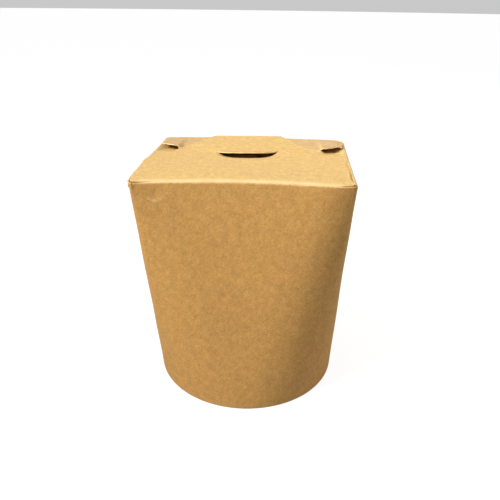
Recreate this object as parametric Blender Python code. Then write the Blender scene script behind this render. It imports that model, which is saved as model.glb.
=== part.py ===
"""Noodle takeaway box: one folded kraft-board carton, square at the closed top and round at the foot.

Run with: blender --background --python part.py
Metres, +Z up. The origin is on the table, under the middle of the box; the front fold faces -Y.
"""

import math

import bmesh
import bpy

# Driving dimensions, in metres.
TOP_WIDTH = 0.0960  # left fold to right fold
TOP_DEPTH = 0.0760  # front fold to rear fold
FOLD_HEIGHT = 0.1115  # table to the folds round the closed top
BASE_RADIUS = 0.0460  # outside of the round foot
TOP_RACK = 0.0020  # the closed top leans this far into a parallelogram
BOARD = 0.00045  # one layer of board

# Folds and bows of the sleeve.
FOLD_RADIUS = 0.0010
CORNER_RADII = (0.0014, 0.0024, 0.0036, 0.0012)  # front left, front right, rear right, rear left
FRONT_BOW = -0.0015  # the front wall is pressed in under its fold
REAR_BOW = 0.0004
LEFT_BOW = 0.0008
RIGHT_BOW = -0.0006
FRONT_RISE = 0.0005  # the front fold arches up at its middle
BOW_FADE = 3.0  # the bows die away towards the foot as this power of the height

# Foot and base panel.
FOOT_EDGE = 0.0003  # rounding of the foot's outer edge
HEM = 0.0015  # the foot's rim: the sleeve turned in and up, with the panel's skirt between
PANEL_HEIGHT = 0.0060  # table to the underside of the base panel
PANEL_THICKNESS = 0.0006
GAP = 0.0003  # kept between pieces that touch

# Closed top: the rear flap lies over the front flap's shoulders and under its tongue.
WING_FRONT_Y = 0.0165  # the rear flap's free edge
WING_LIFT = 0.0010  # its free edge stands this far above the folds
SIDE_INSET = 0.0011  # the flaps stop this far inside the side folds
TONGUE_ROOT = (-0.0360, 0.0335)  # left and right ends of the tongue where it leaves the shoulders
TONGUE_END = (-0.0198, 0.0154)  # left and right ends of its free edge
TONGUE_RAMP_Y = 0.0060  # the front flap starts to climb here
SLIT_X = (-0.0156, 0.0143)  # ends of the curved slit in the front flap
SLIT_Y = 0.0088  # the slit's straight side
SLIT_REACH = 0.0066  # how far its dipped lip reaches forward of that
SLIT_DEPTH = 0.0022
SHOULDER_GAPS = ((-0.0462, -0.0366), (0.0347, 0.0468))  # slots under the rear flap's wings
SHOULDER_GAP_DEPTH = 0.0050
SHOULDER_GAP_HEIGHT = 0.0009
PINHOLE_INSET = 0.0019  # the web folds leave a pinhole this far inside each front corner
PINHOLE_RADIUS = 0.0005
PINHOLE_DEPTH = 0.0030

# Fineness of the outline and of the rings.
ARC_STEPS = 14
WIDE_STEPS = 12
DEEP_STEPS = 8
WALL_RINGS = 12
FOLD_STEPS = 4
CAP_RINGS = 8
LIP_STEPS = 16
ROUND_STEPS = 96
PINHOLE_STEPS = 8
BURY = 0.0015  # how far a plate reaches down into the carton below it
CLEAR = 0.0040  # how far a cutter reaches past what it cuts

KRAFT = (0.604, 0.347, 0.118, 1.0)
KRAFT_LIGHT = (0.807, 0.546, 0.242, 1.0)
KRAFT_ROUGHNESS = 0.75


def clear_scene():
    for item in list(bpy.data.objects):
        bpy.data.objects.remove(item, do_unlink=True)


def make_material(name, colour, roughness):
    material = bpy.data.materials.new(name)
    material.use_nodes = True
    shader = material.node_tree.nodes["Principled BSDF"]
    shader.inputs["Base Color"].default_value = colour
    shader.inputs["Roughness"].default_value = roughness
    shader.inputs["Metallic"].default_value = 0.0
    return material


def mix(start, end, share):
    return start + (end - start) * share


def arch(share):
    """0 at both ends of a side and 1 at its middle."""
    return 4.0 * share * (1.0 - share)


def top_corners():
    """The four corners of the closed top, anticlockwise from the front left."""
    half_width = TOP_WIDTH / 2
    half_depth = TOP_DEPTH / 2
    lean = TOP_RACK / 2
    return (
        (-half_width - lean, -half_depth),
        (half_width - lean, -half_depth),
        (half_width + lean, half_depth),
        (-half_width + lean, half_depth),
    )


def outline(height_share, inset=0.0):
    """One ring round the sleeve: the foot's circle blended into the closed top's rectangle.

    Every ring has the same number of points, so that rings join one to one. Each item is
    (x, y, lift), where lift is the arch of the front fold.
    """
    corners = top_corners()
    strength = height_share**BOW_FADE
    sides = (
        (WIDE_STEPS, (0.0, -1.0), FRONT_BOW),
        (DEEP_STEPS, (1.0, 0.0), RIGHT_BOW),
        (WIDE_STEPS, (0.0, 1.0), REAR_BOW),
        (DEEP_STEPS, (-1.0, 0.0), LEFT_BOW),
    )
    arcs = []
    for index, (corner_x, corner_y) in enumerate(corners):
        radius = CORNER_RADII[index]
        centre_x = corner_x - math.copysign(radius, corner_x)
        centre_y = corner_y - math.copysign(radius, corner_y)
        arc = []
        for step in range(ARC_STEPS + 1):
            turn = math.radians(180 + 90 * index) + math.radians(90) * step / ARC_STEPS
            reach = mix(BASE_RADIUS, radius, height_share) - inset
            x = mix(0.0, centre_x, height_share) + reach * math.cos(turn)
            y = mix(0.0, centre_y, height_share) + reach * math.sin(turn)
            arc.append((x, y, 0.0))
        arcs.append(arc)
    ring = []
    for index, (steps, normal, bow) in enumerate(sides):
        ring.extend(arcs[index])
        start = arcs[index][-1]
        end = arcs[(index + 1) % 4][0]
        for step in range(1, steps):
            share = step / steps
            push = bow * arch(share) * strength
            lift = FRONT_RISE * arch(share) * strength if index == 0 else 0.0
            x = mix(start[0], end[0], share) + normal[0] * push
            y = mix(start[1], end[1], share) + normal[1] * push
            ring.append((x, y, lift))
    return ring


def add_ring(mesh, points):
    return [mesh.verts.new(point) for point in points]


def join_rings(mesh, lower, upper):
    count = len(lower)
    for index in range(count):
        after = (index + 1) % count
        mesh.faces.new((lower[index], lower[after], upper[after], upper[index]))


def finish_object(name, mesh, material=None):
    bmesh.ops.recalc_face_normals(mesh, faces=mesh.faces)
    data = bpy.data.meshes.new(name)
    mesh.to_mesh(data)
    mesh.free()
    made = bpy.data.objects.new(name, data)
    bpy.context.scene.collection.objects.link(made)
    if material is None:
        made.hide_render = True
        made.display_type = "WIRE"
    else:
        data.materials.append(material)
    return made


def sleeve_rings():
    """Rings from the foot's edge up the walls, over the folds and in to the middle of the top."""
    rings = [[(x, y, 0.0) for x, y, _ in outline(0.0, FOOT_EDGE)]]
    first = FOOT_EDGE / FOLD_HEIGHT
    last = 1.0 - FOLD_RADIUS / FOLD_HEIGHT
    for step in range(WALL_RINGS + 1):
        share = mix(first, last, step / WALL_RINGS)
        rings.append([(x, y, FOLD_HEIGHT * share + lift) for x, y, lift in outline(share)])
    for step in range(1, FOLD_STEPS + 1):
        turn = math.radians(90) * step / FOLD_STEPS
        inset = FOLD_RADIUS * (1.0 - math.cos(turn))
        height = FOLD_HEIGHT - FOLD_RADIUS * (1.0 - math.sin(turn))
        rings.append([(x, y, height + lift) for x, y, lift in outline(1.0, inset)])
    edge = rings[-1]
    for step in range(1, CAP_RINGS):
        scale = 1.0 - step / CAP_RINGS
        rings.append([(x * scale, y * scale, mix(FOLD_HEIGHT, z, scale)) for x, y, z in edge])
    return rings


def make_sleeve(material):
    mesh = bmesh.new()
    rings = [add_ring(mesh, points) for points in sleeve_rings()]
    for lower, upper in zip(rings, rings[1:]):
        join_rings(mesh, lower, upper)
    middle = mesh.verts.new((0.0, 0.0, FOLD_HEIGHT))
    for index, corner in enumerate(rings[-1]):
        mesh.faces.new((corner, rings[-1][(index + 1) % len(rings[-1])], middle))
    mesh.faces.new(reversed(rings[0]))
    return finish_object("carton", mesh, material)


def make_plate(name, rows, floor):
    """A flap as a closed solid: rows of (y, left x, right x, height), down to one flat floor."""
    mesh = bmesh.new()
    tops = []
    floors = []
    for y, left, right, height in rows:
        tops.append(add_ring(mesh, ((left, y, height), (right, y, height))))
        floors.append(add_ring(mesh, ((left, y, floor), (right, y, floor))))
    for index in range(len(rows) - 1):
        near, far = tops[index], tops[index + 1]
        low_near, low_far = floors[index], floors[index + 1]
        mesh.faces.new((near[0], near[1], far[1], far[0]))
        mesh.faces.new((low_near[1], low_near[0], low_far[0], low_far[1]))
        mesh.faces.new((low_near[0], near[0], far[0], low_far[0]))
        mesh.faces.new((low_near[1], low_far[1], far[1], near[1]))
    mesh.faces.new((floors[0][0], floors[0][1], tops[0][1], tops[0][0]))
    mesh.faces.new((floors[-1][1], floors[-1][0], tops[-1][0], tops[-1][1]))
    return finish_object(name, mesh)


def make_rear_flap():
    """The rear flap, from its lifted free edge back down to the rear fold."""
    left = top_corners()[3][0] + SIDE_INSET
    right = top_corners()[2][0] - SIDE_INSET
    rear = TOP_DEPTH / 2 - FOLD_RADIUS
    lean = TOP_RACK * (rear - WING_FRONT_Y) / TOP_DEPTH
    rows = (
        (WING_FRONT_Y, left - lean, right - lean, FOLD_HEIGHT + WING_LIFT),
        (rear - CORNER_RADII[2], left, right, FOLD_HEIGHT + BOARD / 2),
        (rear, left + CORNER_RADII[3], right - CORNER_RADII[2], FOLD_HEIGHT + BOARD / 4),
    )
    return make_plate("rear_flap", rows, FOLD_HEIGHT - BURY)


def make_tongue():
    """The front flap's tongue: up a gentle ramp, over the rear flap and on to the rear fold."""
    rear = TOP_DEPTH / 2 - BOARD
    spread = (TONGUE_ROOT[0] * 0.75, TONGUE_ROOT[1] * 0.75)
    rows = (
        (TONGUE_RAMP_Y, spread[0], spread[1], FOLD_HEIGHT - BOARD / 4),
        (WING_FRONT_Y, TONGUE_ROOT[0], TONGUE_ROOT[1], FOLD_HEIGHT + WING_LIFT + BOARD),
        (rear, TONGUE_END[0], TONGUE_END[1], FOLD_HEIGHT + BOARD * 1.5),
    )
    return make_plate("tongue", rows, FOLD_HEIGHT - BURY)


def make_slit_cutter():
    """The pocket in front of the slit: straight behind, curved in front, deepest at the slit."""
    mesh = bmesh.new()
    middle = (SLIT_X[0] + SLIT_X[1]) / 2
    half = (SLIT_X[1] - SLIT_X[0]) / 2
    top = FOLD_HEIGHT + CLEAR
    front_points = []
    for step in range(LIP_STEPS + 1):
        share = -1.0 + 2.0 * step / LIP_STEPS
        reach = SLIT_REACH * (1.0 - share * share)
        front_points.append((middle + half * share, SLIT_Y - reach))
    shallow = FOLD_HEIGHT - BOARD
    deep = FOLD_HEIGHT - SLIT_DEPTH
    ring = []
    for x, y in front_points:
        share = (SLIT_Y - y) / SLIT_REACH
        ring.append((x, y, mix(deep, shallow, share)))
    low = add_ring(mesh, ring)
    high = add_ring(mesh, [(x, y, top) for x, y, _ in ring])
    join_rings(mesh, low, high)
    mesh.faces.new(reversed(low))
    mesh.faces.new(high)
    return finish_object("slit_cutter", mesh)


def box_ring(left, right, y, low, high):
    """Four points of an upright rectangle across the depth of the box."""
    return ((left, y, low), (right, y, low), (right, y, high), (left, y, high))


def make_gap_cutter(name, left, right):
    """A slot that runs in under the rear flap's free edge, narrowing towards the outer side."""
    ceiling = FOLD_HEIGHT + WING_LIFT - BOARD
    floor = ceiling - SHOULDER_GAP_HEIGHT
    front = WING_FRONT_Y - CLEAR
    back = WING_FRONT_Y + SHOULDER_GAP_DEPTH
    middle = (left + right) / 2
    back_left, back_right = (left, middle) if left < 0 else (middle, right)
    mesh = bmesh.new()
    sections = (
        box_ring(left, right, front, ceiling - BOARD, ceiling),
        box_ring(left, right, WING_FRONT_Y, floor, ceiling),
        box_ring(back_left, back_right, back, ceiling - BOARD, ceiling - BOARD / 2),
    )
    rings = [add_ring(mesh, section) for section in sections]
    for near, far in zip(rings, rings[1:]):
        join_rings(mesh, near, far)
    mesh.faces.new(reversed(rings[0]))
    mesh.faces.new(rings[-1])
    return finish_object(name, mesh)


def make_pinhole_cutter(name, corner, side):
    """A small round pit where the web folds meet inside a front corner."""
    mesh = bmesh.new()
    bmesh.ops.create_cone(
        mesh,
        cap_ends=True,
        segments=PINHOLE_STEPS,
        radius1=PINHOLE_RADIUS / 3,
        radius2=PINHOLE_RADIUS,
        depth=PINHOLE_DEPTH,
    )
    made = finish_object(name, mesh)
    made.location = (
        corner[0] + side * PINHOLE_INSET,
        corner[1] + FOLD_RADIUS,
        FOLD_HEIGHT - PINHOLE_DEPTH / 4,
    )
    return made


def make_recess_cutter():
    """The hollow under the base panel, inside the foot's rim."""
    mesh = bmesh.new()
    height = PANEL_HEIGHT + PANEL_THICKNESS + GAP
    bmesh.ops.create_cone(
        mesh,
        cap_ends=True,
        segments=ROUND_STEPS,
        radius1=BASE_RADIUS - HEM,
        radius2=BASE_RADIUS - HEM,
        depth=height + CLEAR,
    )
    made = finish_object("recess_cutter", mesh)
    made.location = (0.0, 0.0, (height - CLEAR) / 2)
    return made


def make_base_panel(material):
    """The round panel set in above the foot's rim."""
    mesh = bmesh.new()
    bmesh.ops.create_cone(
        mesh,
        cap_ends=True,
        segments=ROUND_STEPS,
        radius1=BASE_RADIUS - HEM - GAP,
        radius2=BASE_RADIUS - HEM - GAP,
        depth=PANEL_THICKNESS,
    )
    bmesh.ops.translate(
        mesh, verts=mesh.verts, vec=(0.0, 0.0, PANEL_HEIGHT + PANEL_THICKNESS / 2)
    )
    return finish_object("base_panel", mesh, material)


def add_boolean(target, other, operation):
    modifier = target.modifiers.new(other.name, "BOOLEAN")
    modifier.operation = operation
    modifier.solver = "EXACT"
    modifier.object = other


def build():
    clear_scene()
    carton = make_sleeve(make_material("kraft_board", KRAFT, KRAFT_ROUGHNESS))
    for plate in (make_rear_flap(), make_tongue()):
        add_boolean(carton, plate, "UNION")
    cutters = [make_slit_cutter(), make_recess_cutter()]
    for name, (left, right) in zip(("left_gap_cutter", "right_gap_cutter"), SHOULDER_GAPS):
        cutters.append(make_gap_cutter(name, left, right))
    corners = top_corners()
    cutters.append(make_pinhole_cutter("left_pinhole_cutter", corners[0], 1.0))
    cutters.append(make_pinhole_cutter("right_pinhole_cutter", corners[1], -1.0))
    for cutter in cutters:
        add_boolean(carton, cutter, "DIFFERENCE")
    make_base_panel(make_material("kraft_panel", KRAFT_LIGHT, KRAFT_ROUGHNESS))


build()
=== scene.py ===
"""Noodle takeaway box: the looks of a shut kraft-board carton that stands on its round foot.

The carton is one folded blank. Its walls are a ruled surface between the round foot and the
rectangular folds of the closed top, and its flaps go on from those folds: two narrow side flaps,
a rear flap, and a front flap whose tongue lies over the rear flap. Lengths are in metres.
"""

from __future__ import annotations

import logging
import math
from dataclasses import dataclass, field
from enum import Enum
from typing import Sequence

import bmesh
import bpy
import numpy as np
from mathutils import Matrix, Vector

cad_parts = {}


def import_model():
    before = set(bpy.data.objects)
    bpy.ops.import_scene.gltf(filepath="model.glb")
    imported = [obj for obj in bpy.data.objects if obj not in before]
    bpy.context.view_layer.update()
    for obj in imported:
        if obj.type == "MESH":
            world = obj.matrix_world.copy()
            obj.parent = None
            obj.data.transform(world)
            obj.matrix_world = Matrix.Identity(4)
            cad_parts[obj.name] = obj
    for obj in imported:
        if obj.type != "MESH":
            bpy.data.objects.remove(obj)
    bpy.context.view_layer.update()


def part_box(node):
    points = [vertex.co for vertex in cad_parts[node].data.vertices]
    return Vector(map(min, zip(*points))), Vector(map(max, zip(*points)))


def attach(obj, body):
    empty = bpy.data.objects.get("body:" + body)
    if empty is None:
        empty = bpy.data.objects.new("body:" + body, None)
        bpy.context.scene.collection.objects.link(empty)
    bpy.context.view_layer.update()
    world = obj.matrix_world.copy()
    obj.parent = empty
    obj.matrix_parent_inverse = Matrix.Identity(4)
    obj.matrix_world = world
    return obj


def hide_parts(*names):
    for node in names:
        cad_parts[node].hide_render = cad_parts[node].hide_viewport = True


MM = 0.001
BODY = "root"
LOG = logging.getLogger("noodle_box")


# ---------------------------------------------------------------------------
# Small helpers
# ---------------------------------------------------------------------------


def smooth(share: np.ndarray | float) -> np.ndarray:
    """Ease from 0 to 1 with level ends.

    Args:
        share: Where along the step, in any range.

    Returns:
        The eased value, held at 0 and 1 outside the step.
    """
    held = np.clip(share, 0.0, 1.0)
    return held * held * (3.0 - 2.0 * held)


def arch(share: np.ndarray | float) -> np.ndarray:
    """Return 0 at both ends of a side and 1 at its middle."""
    return 4.0 * share * (1.0 - share)


def mix(start: np.ndarray | float, end: np.ndarray | float, share: np.ndarray | float) -> np.ndarray:
    """Blend from start to end."""
    return start + (end - start) * share


def through(x: np.ndarray | float, *points: tuple[float, float]) -> np.ndarray:
    """Read a line of straight stretches through a few points.

    Args:
        x: Where to read it.
        points: (position, value) pairs in rising order, in millimetres.

    Returns:
        The values, in the unit of the points.
    """
    places, values = zip(*points)
    return np.interp(x, places, values)


class Side(Enum):
    """The four sides of the closed top, anticlockwise from the front."""

    FRONT = 0
    RIGHT = 1
    REAR = 2
    LEFT = 3


# ---------------------------------------------------------------------------
# Sizes
# ---------------------------------------------------------------------------


@dataclass(frozen=True)
class CartonSizes:
    """Driving sizes of the carton.

    The first four come from the frame, and the rest are proportions and small features. Lists of
    four go round the corners, or the sides, anticlockwise from the front left corner or the front.
    The front fold curls back before its right corner, by the pull, and leads into it at an angle.
    """

    foot_radius: float
    half_width: float
    half_depth: float
    fold_height: float
    lean: float = 2.0 * MM
    board: float = 0.45 * MM
    fold_radius: float = 1.0 * MM
    fold_roundness: float = 1.6
    groove_share: float = 0.36
    groove_reach: float = 0.22
    groove_fall: float = 0.6
    groove_depth: float = 0.45 * MM
    corner_radii: tuple[float, ...] = (1.7 * MM, 2.4 * MM, 4.0 * MM, 1.2 * MM)
    corner_outs: tuple[float, ...] = (0.1 * MM, 0.8 * MM, 0.5 * MM, 0.9 * MM)
    corner_pulls: tuple[float, ...] = (0.0, 1.9 * MM, 0.0, 0.0)
    corner_flares: tuple[float, ...] = (1.2, 0.2, 0.0, 0.0)
    corner_leads: tuple[float, ...] = (0.0, 17.0, 0.0, 0.0)
    curl_share: float = 0.14
    curl_drop: float = 0.5 * MM
    bows: tuple[float, ...] = (-1.2 * MM, -0.1 * MM, 0.3 * MM, 0.8 * MM)
    corner_lifts: tuple[float, ...] = (-0.5 * MM, -0.1 * MM, 0.7 * MM, 0.2 * MM)
    front_rise: float = 1.0 * MM
    rear_rise: float = 0.6 * MM
    side_drop: float = 0.45 * MM
    foot_forward: float = 0.5 * MM
    hem_width: float = 1.5 * MM
    hem_height: float = 5.6 * MM
    panel_height: float = 6.0 * MM

    @classmethod
    def from_frame(cls, low: Sequence[float], high: Sequence[float]) -> "CartonSizes":
        """Work the main sizes out from the carton's box in the frame.

        Args:
            low: The box's lowest corner.
            high: The box's highest corner.

        Returns:
            The sizes of the carton.
        """
        depth_share = 19 / 24
        stack_above_folds = 1.45 * MM
        half_width = (high[0] - low[0]) / 2 - cls.lean / 2
        return cls(
            foot_radius=(high[1] - low[1]) / 2,
            half_width=half_width,
            half_depth=half_width * depth_share,
            fold_height=high[2] - low[2] - stack_above_folds,
        )

    def corner(self, index: int) -> tuple[float, float]:
        """Return the plan position of one corner of the closed top, from the front left."""
        lean = self.lean / 2
        signs = ((-1, -1), (1, -1), (1, 1), (-1, 1))[index]
        return (
            signs[0] * (self.half_width + self.corner_outs[index]) + signs[1] * lean,
            signs[1] * self.half_depth + self.corner_pulls[index],
        )

    def curl(self, side: Side, share: np.ndarray) -> np.ndarray:
        """Return how far along its curl each column is: 0 up to the curl, 1 at the corner."""
        if side is not Side.FRONT:
            return np.zeros_like(share)
        return np.clip(1.0 - (1.0 - share) / self.curl_share, 0.0, 1.0)


@dataclass(frozen=True)
class Fineness:
    """How many columns and rows the blank is made of."""

    wide_columns: int = 96
    deep_columns: int = 40
    corner_columns: int = 24
    wall_rows: int = 58
    fold_rows: int = 14
    front_rows: int = 42
    slit_rows: int = 12
    tongue_rows: int = 30
    rear_rows: int = 28
    wide_degrees: float = 52.0
    deep_degrees: float = 22.0

    def foot_degrees(self, index: int) -> float:
        """Return half the angle on the foot that belongs to the front, right, rear or left."""
        return self.deep_degrees if index % 2 else self.wide_degrees


@dataclass(frozen=True)
class Span:
    """A run of columns along one side or round one corner.

    Attributes:
        top: Where each column's wall meets its fold, one row of x, y, z each.
        foot: Where each column meets the foot, as x, y, z.
        inward: The plan direction into the box at the fold.
        share: How far along the span each column lies, from 0 to 1.
        flare: How far each column's fold leans back out; at 1 its crest is over its wall.
    """

    top: np.ndarray
    foot: np.ndarray
    inward: np.ndarray
    share: np.ndarray
    flare: np.ndarray


@dataclass
class Outlines:
    """The columns round the carton, from the foot's circle to the folds of the closed top."""

    sizes: CartonSizes
    fineness: Fineness
    sides: list[Span] = field(default_factory=list)
    corners: list[Span] = field(default_factory=list)

    def __post_init__(self) -> None:
        """Lay out the corners first, because the sides run between them."""
        for index in range(4):
            self.corners.append(self._corner(index))
        for side in Side:
            self.sides.append(self._side(side))

    def _on_foot(self, degrees: np.ndarray) -> np.ndarray:
        """Return points on the foot's circle at the height where its rim starts to turn in."""
        turn = np.radians(degrees)
        radius = self.sizes.foot_radius
        level = np.full_like(turn, self.sizes.hem_width / 2)
        y = radius * np.sin(turn) - self.sizes.foot_forward
        return np.stack([radius * np.cos(turn), y, level], axis=1)

    def _corner(self, index: int) -> Span:
        """Return the columns round one corner, which fan out towards the foot."""
        radius = self.sizes.corner_radii[index]
        x, y = self.sizes.corner(index)
        share = np.linspace(0.0, 1.0, self.fineness.corner_columns + 1)
        start = 180.0 + 90.0 * index
        lead = self.sizes.corner_leads[index]
        turn = np.radians(start + lead + (90.0 - lead) * share)
        outward = np.stack([np.cos(turn), np.sin(turn)], axis=1)
        centre = np.array([x - math.copysign(radius, x), y - math.copysign(radius, y)])
        plan = centre + radius * outward
        level = self.sizes.fold_height + self.sizes.corner_lifts[index] - self.sizes.fold_radius
        top = np.column_stack([plan, np.full(len(share), level)])
        first = start + self.fineness.foot_degrees(index - 1)
        last = start + 90.0 - self.fineness.foot_degrees(index)
        foot = self._on_foot(mix(first, last, share))
        flare = np.full_like(share, self.sizes.corner_flares[index])
        return Span(top, foot, -outward, share, flare)

    def _side(self, side: Side) -> Span:
        """Return the columns of one side, closer together near its ends."""
        index = side.value
        wide = side in (Side.FRONT, Side.REAR)
        count = self.fineness.wide_columns if wide else self.fineness.deep_columns
        even = np.linspace(0.0, 1.0, count + 1)
        share = 0.5 * even + 0.5 * (0.5 - 0.5 * np.cos(math.pi * even))
        start = self.corners[index].top[-1]
        end = self.corners[(index + 1) % 4].top[0]
        middle = 270.0 + 90.0 * index
        curl = self.sizes.curl(side, share)
        lead = self.sizes.corner_leads[(index + 1) % 4]
        turn = np.radians(middle + lead * curl)
        outward = np.stack([np.cos(turn), np.sin(turn)], axis=1)
        top = start + (end - start) * share[:, None]
        if side is Side.FRONT:
            top[:, 1] = mix(start[1], end[1], curl**2)
        flat = np.array([math.cos(math.radians(middle)), math.sin(math.radians(middle))])
        top[:, :2] += flat * (self.sizes.bows[index] * arch(share))[:, None]
        top[:, 2] += self._lift(side, share) - self.sizes.curl_drop * curl**2 * (1.0 - curl**6)
        reach = 2.0 * share - 1.0
        foot = self._on_foot(middle + self.fineness.foot_degrees(index) * reach**3)
        first_flare = self.sizes.corner_flares[index] * (1.0 - smooth(share / 0.06))
        last_flare = self.sizes.corner_flares[(index + 1) % 4] * smooth((share - 0.88) / 0.12)
        return Span(top, foot, -outward, share, first_flare + last_flare)

    def _lift(self, side: Side, share: np.ndarray) -> np.ndarray:
        """Return how far the fold of a side rises over the line between its corners."""
        if side is Side.FRONT:
            return self.sizes.front_rise * arch(share) ** 1.4
        if side is Side.REAR:
            return self.sizes.rear_rise * arch(share) ** 0.6
        return -self.sizes.side_drop * np.minimum(1.0, 6.0 * arch(share))

    def ring(self) -> tuple[np.ndarray, np.ndarray]:
        """Return the whole closed ring of tops and feet, its last column on its first."""
        tops: list[np.ndarray] = []
        feet: list[np.ndarray] = []
        for corner, side in zip(self.corners, self.sides):
            tops += [corner.top[:-1], side.top[:-1]]
            feet += [corner.foot[:-1], side.foot[:-1]]
        tops.append(self.corners[0].top[:1])
        feet.append(self.corners[0].foot[:1])
        return np.concatenate(tops), np.concatenate(feet)


# ---------------------------------------------------------------------------
# Geometry Nodes
# ---------------------------------------------------------------------------


class NodeTree:
    """A Geometry Nodes tree with named inputs, built and then applied to a plain mesh."""

    def __init__(self, name: str) -> None:
        """Start a tree that ends in Realize Instances and Set Material."""
        self.tree = bpy.data.node_groups.new(name, "GeometryNodeTree")
        self.tree.interface.new_socket("Geometry", in_out="OUTPUT", socket_type="NodeSocketGeometry")
        self.tree.interface.new_socket("Geometry", in_out="INPUT", socket_type="NodeSocketGeometry")
        self.inputs = self.tree.nodes.new("NodeGroupInput")
        self.output = self.tree.nodes.new("NodeGroupOutput")
        self.identifiers: dict[str, str] = {}

    def add_input(self, name: str, kind: str) -> bpy.types.NodeSocket:
        """Add a named input.

        Args:
            name: The input's name.
            kind: Its socket type, such as NodeSocketFloat.

        Returns:
            The socket that carries it inside the tree.
        """
        made = self.tree.interface.new_socket(name, in_out="INPUT", socket_type=kind)
        self.identifiers[name] = made.identifier
        return self.inputs.outputs[name]

    def node(self, kind: str, links: dict | None = None, **settings: object) -> bpy.types.Node:
        """Add a node.

        Args:
            kind: The node's type.
            links: Sockets or values for its inputs, by name or number.
            settings: Properties to set on the node.

        Returns:
            The new node.
        """
        made = self.tree.nodes.new(kind)
        for key, value in settings.items():
            setattr(made, key, value)
        for key, value in (links or {}).items():
            if isinstance(value, bpy.types.NodeSocket):
                self.tree.links.new(value, made.inputs[key])
            else:
                made.inputs[key].default_value = value
        return made

    def maths(self, operation: str, *values: object) -> bpy.types.NodeSocket:
        """Add a Math node and return its result."""
        made = self.node("ShaderNodeMath", dict(enumerate(values)), operation=operation)
        return made.outputs[0]

    def finish(self, geometry: bpy.types.NodeSocket, material: bpy.types.NodeSocket) -> None:
        """Send the result out through Realize Instances and Set Material."""
        real = self.node("GeometryNodeRealizeInstances", {0: geometry})
        dressed = self.node("GeometryNodeSetMaterial", {0: real.outputs[0], "Material": material})
        self.tree.links.new(dressed.outputs[0], self.output.inputs[0])

    def make_mesh(self, name: str, start: bpy.types.Mesh, values: dict[str, object]) -> bpy.types.Mesh:
        """Run the tree and return its result as a plain mesh.

        Args:
            name: The new mesh's name.
            start: The mesh that the tree starts from.
            values: A value for each named input.

        Returns:
            The evaluated mesh, with no modifier behind it.
        """
        holder = bpy.data.objects.new(name + "_holder", start)
        bpy.context.scene.collection.objects.link(holder)
        modifier = holder.modifiers.new(self.tree.name, "NODES")
        modifier.node_group = self.tree
        for key, value in values.items():
            modifier[self.identifiers[key]] = value
        bpy.context.view_layer.update()
        graph = bpy.context.evaluated_depsgraph_get()
        made = bpy.data.meshes.new_from_object(holder.evaluated_get(graph), depsgraph=graph)
        made.name = name
        bpy.data.objects.remove(holder, do_unlink=True)
        return made


def sleeve_tree() -> NodeTree:
    """Build the tree that rules a wall between two outlines with the same number of points."""
    tree = NodeTree("ruled_sleeve")
    foot = tree.add_input("Foot", "NodeSocketObject")
    fold = tree.add_input("Fold", "NodeSocketObject")
    columns = tree.add_input("Columns", "NodeSocketInt")
    rows = tree.add_input("Rows", "NodeSocketInt")
    crowding = tree.add_input("Row Crowding", "NodeSocketFloat")
    material = tree.add_input("Material", "NodeSocketMaterial")
    grid = tree.node("GeometryNodeMeshGrid", {"Vertices X": columns, "Vertices Y": rows})
    index = tree.node("GeometryNodeInputIndex").outputs[0]
    column = tree.maths("FLOOR", tree.maths("DIVIDE", tree.maths("ADD", index, 0.5), rows))
    row = tree.maths("SUBTRACT", index, tree.maths("MULTIPLY", column, rows))
    even = tree.maths("DIVIDE", row, tree.maths("SUBTRACT", rows, 1.0))
    rest = tree.maths("SUBTRACT", 1.0, even)
    crowded = tree.maths("SUBTRACT", 1.0, tree.maths("MULTIPLY", rest, rest))
    share = tree.node("ShaderNodeMix", {"Factor": crowding, 2: even, 3: crowded}).outputs[0]
    ends = []
    for outline in (foot, fold):
        shape = tree.node("GeometryNodeObjectInfo", {"Object": outline}).outputs["Geometry"]
        place = tree.node("GeometryNodeInputPosition").outputs[0]
        sample = tree.node(
            "GeometryNodeSampleIndex",
            {"Geometry": shape, "Index": column},
            data_type="FLOAT_VECTOR",
            domain="POINT",
        )
        value = next(s for s in sample.inputs if s.name == "Value" and s.enabled)
        tree.tree.links.new(place, value)
        ends.append(next(s for s in sample.outputs if s.enabled))
    ruled = tree.node("ShaderNodeMix", {"Factor": share}, data_type="VECTOR")
    tree.tree.links.new(ends[0], ruled.inputs[4])
    tree.tree.links.new(ends[1], ruled.inputs[5])
    moved = tree.node(
        "GeometryNodeSetPosition",
        {"Geometry": grid.outputs["Mesh"], "Position": ruled.outputs[1]},
    )
    tree.finish(moved.outputs[0], material)
    return tree


# ---------------------------------------------------------------------------
# The blank
# ---------------------------------------------------------------------------


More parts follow.
